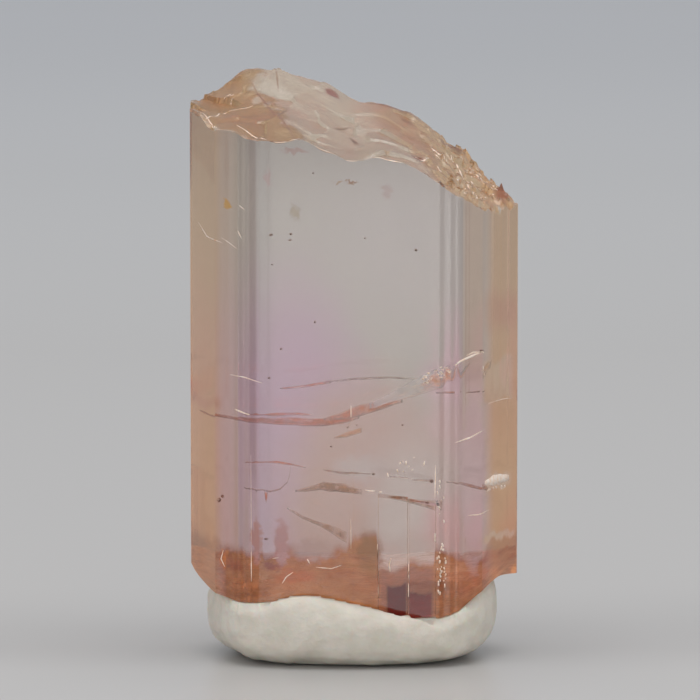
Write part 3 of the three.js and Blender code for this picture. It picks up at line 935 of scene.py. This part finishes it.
# Frost lips, scratches and growth lines on the front, partly painted highlights where the crystal
# glints or its edges catch light, as a width in mm and a line of (X, Z)
FRONT_FROST_AND_GLINTS = [
    (0.09, [(3.95, 11.92), (4.15, 12.08), (4.54, 12.24), (5.05, 12.43)]),
    (0.05, [(4.4, 12.3), (4.7, 12.42), (5.1, 12.4)]),
    (0.035, [(-4.86, 11.53), (-4.27, 11.45), (-3.61, 11.25)]),
    (0.07, [(-4.68, 10.17), (-4.28, 10.03), (-4.1, 9.99)]),
    (0.05, [(3.96, 8.89), (4.55, 9.05), (5.09, 9.32)]),
    (0.035, [(4.5, 5.98), (4.9, 5.98), (5.3, 6.1)]),
    (0.03, [(-5.16, 4.55), (-5.25, 4.2), (-5.1, 3.9)]),
    (0.03, [(-4.04, 3.4), (-4.04, 4.6)]),
    (0.012, [(-4.04, 4.6), (-4.05, 8.4)]),
    (0.04, [(-2.82, 3.35), (-2.66, 3.6), (-2.4, 3.78)]),
    (0.05, [(-1.84, 4.3), (-1.74, 4.12)]),
    (0.03, [(-1.5, 3.98), (-0.9, 3.92), (-0.5, 4.05)]),
    (0.03, [(-2.98, 4.36), (-3.2, 4.32)]),
    (0.05, [(-0.12, 9.9), (-0.12, 10.35)]),
    (0.03, [(-0.12, 4.7), (-0.13, 5.85)]),
    (0.05, [(0.96, 2.75), (0.94, 3.9), (0.92, 4.9)]),
    (0.05, [(2.14, 2.8), (2.14, 4.1)]),
    (0.07, [(1.42, 3.75), (1.38, 4.05), (1.46, 4.3)]),
    (0.06, [(3.18, 4.95), (3.18, 5.3)]),
    (0.04, [(3.17, 6.7), (3.2, 8.0)]),
    (0.02, [(-5.2, 16.9), (-4.9, 16.72), (-4.6, 16.5)]),
    (0.03, [(-6.15, 17.4), (-5.8, 16.9), (-5.2, 16.72)]),
    (0.03, [(-4.5, 18.2), (-4.3, 18.05)]),
    (0.03, [(-4.55, 17.2), (-4.4, 16.9)]),
    (0.05, [(0.43, 7.03), (0.62, 7.0), (0.82, 6.99)]),
    (0.05, [(0.98, 6.95), (1.1, 6.96)]),
    (0.02, [(5.3, 10.34), (5.9, 10.4), (6.3, 10.38)]),
    # The widest is a painted glint on the right side face
    (0.38, [(5.16, 7.2), (5.6, 7.24), (6.16, 7.22)]),
]

# Clusters of short frost strokes on the front, painted sparkles where the crystal glints: middle, half
# size, count, longest stroke, and whether they stand upright
FRONT_SPARKLES = [
    {"at": (5.65, 6.84), "half": (0.4, 0.05), "count": 9, "upright": True, "longest": 0.12},
    {"at": (3.4, 11.68), "half": (0.32, 0.22), "count": 16, "upright": False},
    {"at": (2.75, 11.45), "half": (0.25, 0.2), "count": 10, "upright": False},
    {"at": (3.42, 3.9), "half": (0.2, 1.1), "count": 34, "upright": True},
    {"at": (3.42, 6.2), "half": (0.16, 1.2), "count": 8, "upright": True},
    {"at": (1.9, 8.1), "half": (0.9, 0.9), "count": 10, "upright": True},
    {"at": (5.1, 11.9), "half": (0.1, 0.5), "count": 5, "upright": True},
]

# The same frost and painted glints on the top break, as lines of (X, Y)
TOP_FROST_AND_GLINTS = [
    (0.06, [(-5.84, -1.9), (-5.5, -0.9), (-5.26, 0.1), (-4.7, 0.2), (-4.03, 0.45)]),
    (0.06, [(-6.1, -1.0), (-5.85, -1.6), (-5.6, -2.2), (-5.4, -2.9)]),
    (0.07, [(-4.6, -2.5), (-4.2, -2.9), (-3.8, -3.4), (-3.4, -3.75)]),
    (0.06, [(-3.3, -3.85), (-2.6, -3.88), (-2.1, -3.92)]),
    (0.05, [(-1.9, -3.9), (-1.2, -3.86), (-0.7, -3.88)]),
    (0.10, [(-0.5, -3.85), (-0.2, -3.9), (0.1, -3.88)]),
    (0.10, [(0.8, -3.9), (1.2, -3.88), (1.9, -3.9)]),
    (0.08, [(2.4, -2.3), (2.75, -2.0), (2.95, -1.75)]),
    (0.10, [(3.1, 1.3), (3.4, 0.7), (3.7, 0.45)]),
    (0.08, [(3.05, 0.7), (3.4, 0.1), (3.7, -0.2)]),
    (0.12, [(3.3, -1.7), (3.42, -2.0)]),
    (0.14, [(4.25, -3.68), (4.6, -3.5), (5.0, -3.26)]),
    (0.10, [(3.9, 2.1), (4.16, 0.46), (4.5, -0.6), (4.9, -2.2)]),
]
TOP_SPARKLES = [
    {"at": (-5.08, 1.7), "half": (0.2, 0.25), "count": 6},
    {"at": (5.0, 0.8), "half": (0.65, 2.0), "count": 60},
    {"at": (4.2, -1.8), "half": (0.8, 1.4), "count": 16},
]

# How thick the frost and its painted glints are and how often its edge is set, in mm, how narrow a line
# gets at its ends and how ragged it is, as shares, and the least and most width and the lean of a
# sparkle's stroke
FROST_AND_GLINT_THICKNESS = 0.006
FROST_AND_GLINT_STEP = 0.08
FROST_AND_GLINT_TAPER = 0.35
FROST_AND_GLINT_RAGGED = 0.5
STROKE_WIDTH = (0.03, 0.07)
STROKE_LEAST = 0.04
STROKE_MOST = 0.16
STROKE_LEAN = 0.4


def frost_and_glint_material():
    """Finely broken crystal, nearly white. It also paints the crystal's glints and bright lines, as
    painted highlights.
    """
    paint = Paint("frost_and_painted_glints")
    mottled = paint.ramp(paint.noise(paint.place(), 6.0, 3.0), 0.3, 0.7)
    paint.set(
        base_color=paint.mix(mottled, srgb(244, 214, 190), srgb(252, 238, 226)),
        roughness=0.35,
        normal=paint.bump(mottled, 0.02),
    )
    return paint.material


def ribbon(bm, gem, line, width, from_top):
    """A ragged ribbon laid on the crystal along a line that is seen from the front or from above."""
    aim = Vector((0, 0, -1)) if from_top else Vector((0, 1, 0))
    rows = []
    points = along(line, FROST_AND_GLINT_STEP)
    for i, (a, b) in enumerate(points):
        before, after = points[max(0, i - 1)], points[min(len(points) - 1, i + 1)]
        run = Vector((after[0] - before[0], after[1] - before[1])).normalized()
        taper = FROST_AND_GLINT_TAPER + (1 - FROST_AND_GLINT_TAPER) * math.sin(math.pi * (i + 0.5) / len(points))
        ragged = 1 + FROST_AND_GLINT_RAGGED * noise.noise(Vector((a * 5, b * 5, width * 50)))
        half = width / 2 * taper * ragged
        row = []
        for side in (-half, half):
            u, v = a - run.y * side, b + run.x * side
            start = Vector((u, v, ABOVE)) if from_top else Vector((u, BEFORE, v))
            hit, normal, _, _ = gem.ray_cast(start, aim)
            if hit is None:
                return
            row += [hit + normal * FROST_AND_GLINT_THICKNESS / 4, hit + normal * FROST_AND_GLINT_THICKNESS]
        rows.append([bm.verts.new(co) for co in row])
    for r, s in zip(rows, rows[1:]):
        for a, b in ((0, 1), (1, 3), (3, 2), (2, 0)):
            bm.faces.new((r[a], r[b], s[b], s[a]))
    bm.faces.new((rows[0][0], rows[0][2], rows[0][3], rows[0][1]))
    bm.faces.new((rows[-1][0], rows[-1][1], rows[-1][3], rows[-1][2]))


def strokes(cluster, seed):
    """Short lines at random in a cluster, as (width, line)."""
    rng = random.Random(seed)
    (cx, cz), (rx, rz) = cluster["at"], cluster["half"]
    for _ in range(cluster["count"]):
        turn, reach = rng.uniform(0, 2 * math.pi), math.sqrt(rng.random())
        x, z = cx + rx * reach * math.cos(turn), cz + rz * reach * math.sin(turn)
        lean = rng.uniform(-STROKE_LEAN, STROKE_LEAN)
        lean += math.pi / 2 if cluster.get("upright") else 0
        length = rng.uniform(STROKE_LEAST, cluster.get("longest", STROKE_MOST))
        end = (x + length * math.cos(lean), z + length * math.sin(lean))
        yield rng.uniform(*STROKE_WIDTH), [(x, z), end]


def make_frost_and_glints(crystal):
    # The frost, with the painted glints and bright lines, laid on the front and on the top break
    gem = tree_of(crystal.data)
    material = frost_and_glint_material()
    for name, lines, clusters in (
        ("front_frost_and_glints", FRONT_FROST_AND_GLINTS, FRONT_SPARKLES), ("top_frost_and_glints", TOP_FROST_AND_GLINTS, TOP_SPARKLES)
    ):
        bm = bmesh.new()
        from_top = lines is TOP_FROST_AND_GLINTS
        for width, line in lines:
            ribbon(bm, gem, line, width, from_top)
        for seed, cluster in enumerate(clusters):
            for width, line in strokes(cluster, seed):
                ribbon(bm, gem, line, width, from_top)
        add_piece(name, bm, material)


def putty_material():
    paint = Paint("putty")
    place = paint.place()
    mottled = paint.ramp(paint.noise(place, 0.9, 4.0, 0.6), 0.3, 0.7)
    specks = paint.ramp(paint.noise(place, 7.0, 3.0, 0.7), 0.72, 0.8)
    colour = paint.mix(mottled, srgb(209, 203, 189), srgb(222, 215, 203))
    paint.set(
        base_color=paint.mix(paint.math("MULTIPLY", specks, 0.35), colour, srgb(120, 116, 100)),
        roughness=0.6,
        subsurface_weight=0.3,
        normal=paint.bump(paint.noise(place, 3.0, 5.0, 0.6), 0.05),
    )
    paint.shader.inputs["Subsurface Scale"].default_value = 0.6 * MM
    return paint.material


# The putty's mesh size in mm and how often it is smoothed. Nearer to the crystal than PRESSED it
# closes up to a gap of FILM. Further off it swells by dents of (noise scale, height in mm), which
# come in over DENT_START, and its foot, up to FOOT, stays flat.
PUTTY_GRAIN = 0.11
PUTTY_SMOOTHING = 4
PRESSED = 0.42
FILM = 0.04
DENTS = ((0.8, 0.10), (2.5, 0.03))
DENT_START = 0.5
FOOT = 0.1


def fine_putty():
    """The putty's solid with small, even faces."""
    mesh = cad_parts["mineral_putty"].data.copy()
    mesh.materials.clear()
    putty = bpy.data.objects.new("putty", mesh)
    bpy.context.scene.collection.objects.link(putty)
    remesh = putty.modifiers.new("remesh", "REMESH")
    remesh.mode = "VOXEL"
    remesh.voxel_size = PUTTY_GRAIN * MM
    shaped = putty.evaluated_get(bpy.context.evaluated_depsgraph_get())
    fine = bpy.data.meshes.new_from_object(shaped)
    putty.modifiers.clear()
    putty.data = fine
    return putty


def shape_putty(bm, gem):
    """Smooths the putty, presses it to the crystal and dents the rest."""
    for _ in range(PUTTY_SMOOTHING):
        axes = {"use_axis_x": True, "use_axis_y": True, "use_axis_z": True}
        bmesh.ops.smooth_vert(bm, verts=bm.verts, factor=0.5, **axes)
    bm.normal_update()
    for v in bm.verts:
        near, _, _, away = gem.find_nearest(v.co)
        if away < PRESSED * MM:
            v.co += (near - v.co) * (1 - FILM * MM / max(away, FILM * MM))
        elif v.co.z > FOOT * MM:
            swell = sum(noise.noise(v.co / MM * scale) * height for scale, height in DENTS)
            v.co += v.normal * swell * MM * min(1, (away / MM - PRESSED) / DENT_START)


def detailed_putty(crystal):
    putty = fine_putty()
    bm = bmesh.new()
    bm.from_mesh(putty.data)
    faces = [p.vertices for p in crystal.data.polygons]
    shape_putty(bm, BVHTree.FromPolygons([v.co for v in crystal.data.vertices], faces))
    bm.to_mesh(putty.data)
    bm.free()
    putty.data.shade_smooth()
    putty.data.materials.append(putty_material())
    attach(putty, "root")
    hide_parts("mineral_putty")


# The floor's tone by how steeply the camera sees it: the slope of its line of sight, and the colour
# Painted light and shade: the floor is lighter far off and has a painted shadow band at the crystal's
# foot and behind it
FLOOR_PAINTED_LIGHT_AND_SHADE = [
    (0.0175, (0.655, 0.677, 0.71)),
    (0.05, (0.53, 0.535, 0.54)),
    (0.0875, (0.47, 0.463, 0.455)),
    (0.138, (0.478, 0.468, 0.458)),
    (0.147, (0.445, 0.436, 0.428)),
    (0.151, (0.442, 0.432, 0.424)),
    (0.156, (0.49, 0.48, 0.47)),
    (0.17, (0.50, 0.49, 0.48)),
]


FLOOR_RADIUS = 3.0


def make_stage():
    bpy.ops.mesh.primitive_circle_add(vertices=128, radius=FLOOR_RADIUS, fill_type="NGON")
    floor = bpy.context.object
    floor.name = "floor"
    paint = Paint("floor")
    x, y, z = paint.axes(paint.place())
    away = paint.math("MAXIMUM", paint.math("SUBTRACT", y, EYE.y), 1.0)
    slope = paint.math("DIVIDE", EYE.z, away)
    # The floor's painted light and shade
    paint.set(
        base_color=paint.stops(slope, FLOOR_PAINTED_LIGHT_AND_SHADE),
        roughness=0.3,
        specular_ior_level=0.3,
    )
    floor.data.materials.append(paint.material)


# Soft lights: place and the point they face in metres, width and height in metres, power in watts
LIGHTS = {
    "overhead": ((0, -0.05, 0.70), (0, 0, 0.01), (0.50, 0.50), 2.4),
    "front": ((0, -0.50, 0.06), (0, 0, 0.003), (0.40, 0.08), 0.48),
    "left": ((-0.35, -0.20, 0.20), (0, 0, 0.01), (0.20, 0.30), 0.20),
    "right": ((0.38, -0.10, 0.22), (0, 0, 0.01), (0.15, 0.30), 0.18),
}

# The backdrop's tone at the horizon and straight up
BACKDROP = ((0.42, 0.43, 0.45), (0.62, 0.62, 0.63))
BOUNCES = 24
GLOSSY_BOUNCES = 12


def make_lights():
    for name, (place, aim, size, power) in LIGHTS.items():
        data = bpy.data.lights.new(name, "AREA")
        data.shape = "RECTANGLE"
        data.size, data.size_y = size
        data.energy = power
        light = bpy.data.objects.new(name, data)
        light.location = place
        light.rotation_euler = (Vector(aim) - Vector(place)).to_track_quat("-Z", "Y").to_euler()
        bpy.context.scene.collection.objects.link(light)


def make_backdrop():
    world = bpy.data.worlds.new("studio")
    bpy.context.scene.world = world
    world.use_nodes = True
    tree = world.node_tree
    direction = tree.nodes.new("ShaderNodeTexCoord").outputs["Generated"]
    split = tree.nodes.new("ShaderNodeSeparateXYZ")
    tree.links.new(direction, split.inputs[0])
    ramp = tree.nodes.new("ShaderNodeValToRGB")
    tree.links.new(split.outputs["Z"], ramp.inputs[0])
    for stop, tone in zip(ramp.color_ramp.elements, BACKDROP):
        stop.color = (*tone, 1)
    tree.links.new(ramp.outputs[0], tree.nodes["Background"].inputs["Color"])


def set_colours():
    scene = bpy.context.scene
    scene.view_settings.view_transform = "Standard"
    scene.cycles.max_bounces = BOUNCES
    scene.cycles.transmission_bounces = BOUNCES
    scene.cycles.transparent_max_bounces = BOUNCES
    scene.cycles.glossy_bounces = GLOSSY_BOUNCES


make_camera()
crystal = detailed_crystal()
make_fractures()
make_inclusions()
make_frost_and_glints(crystal)
detailed_putty(crystal)
make_stage()
make_backdrop()
make_lights()
set_colours()
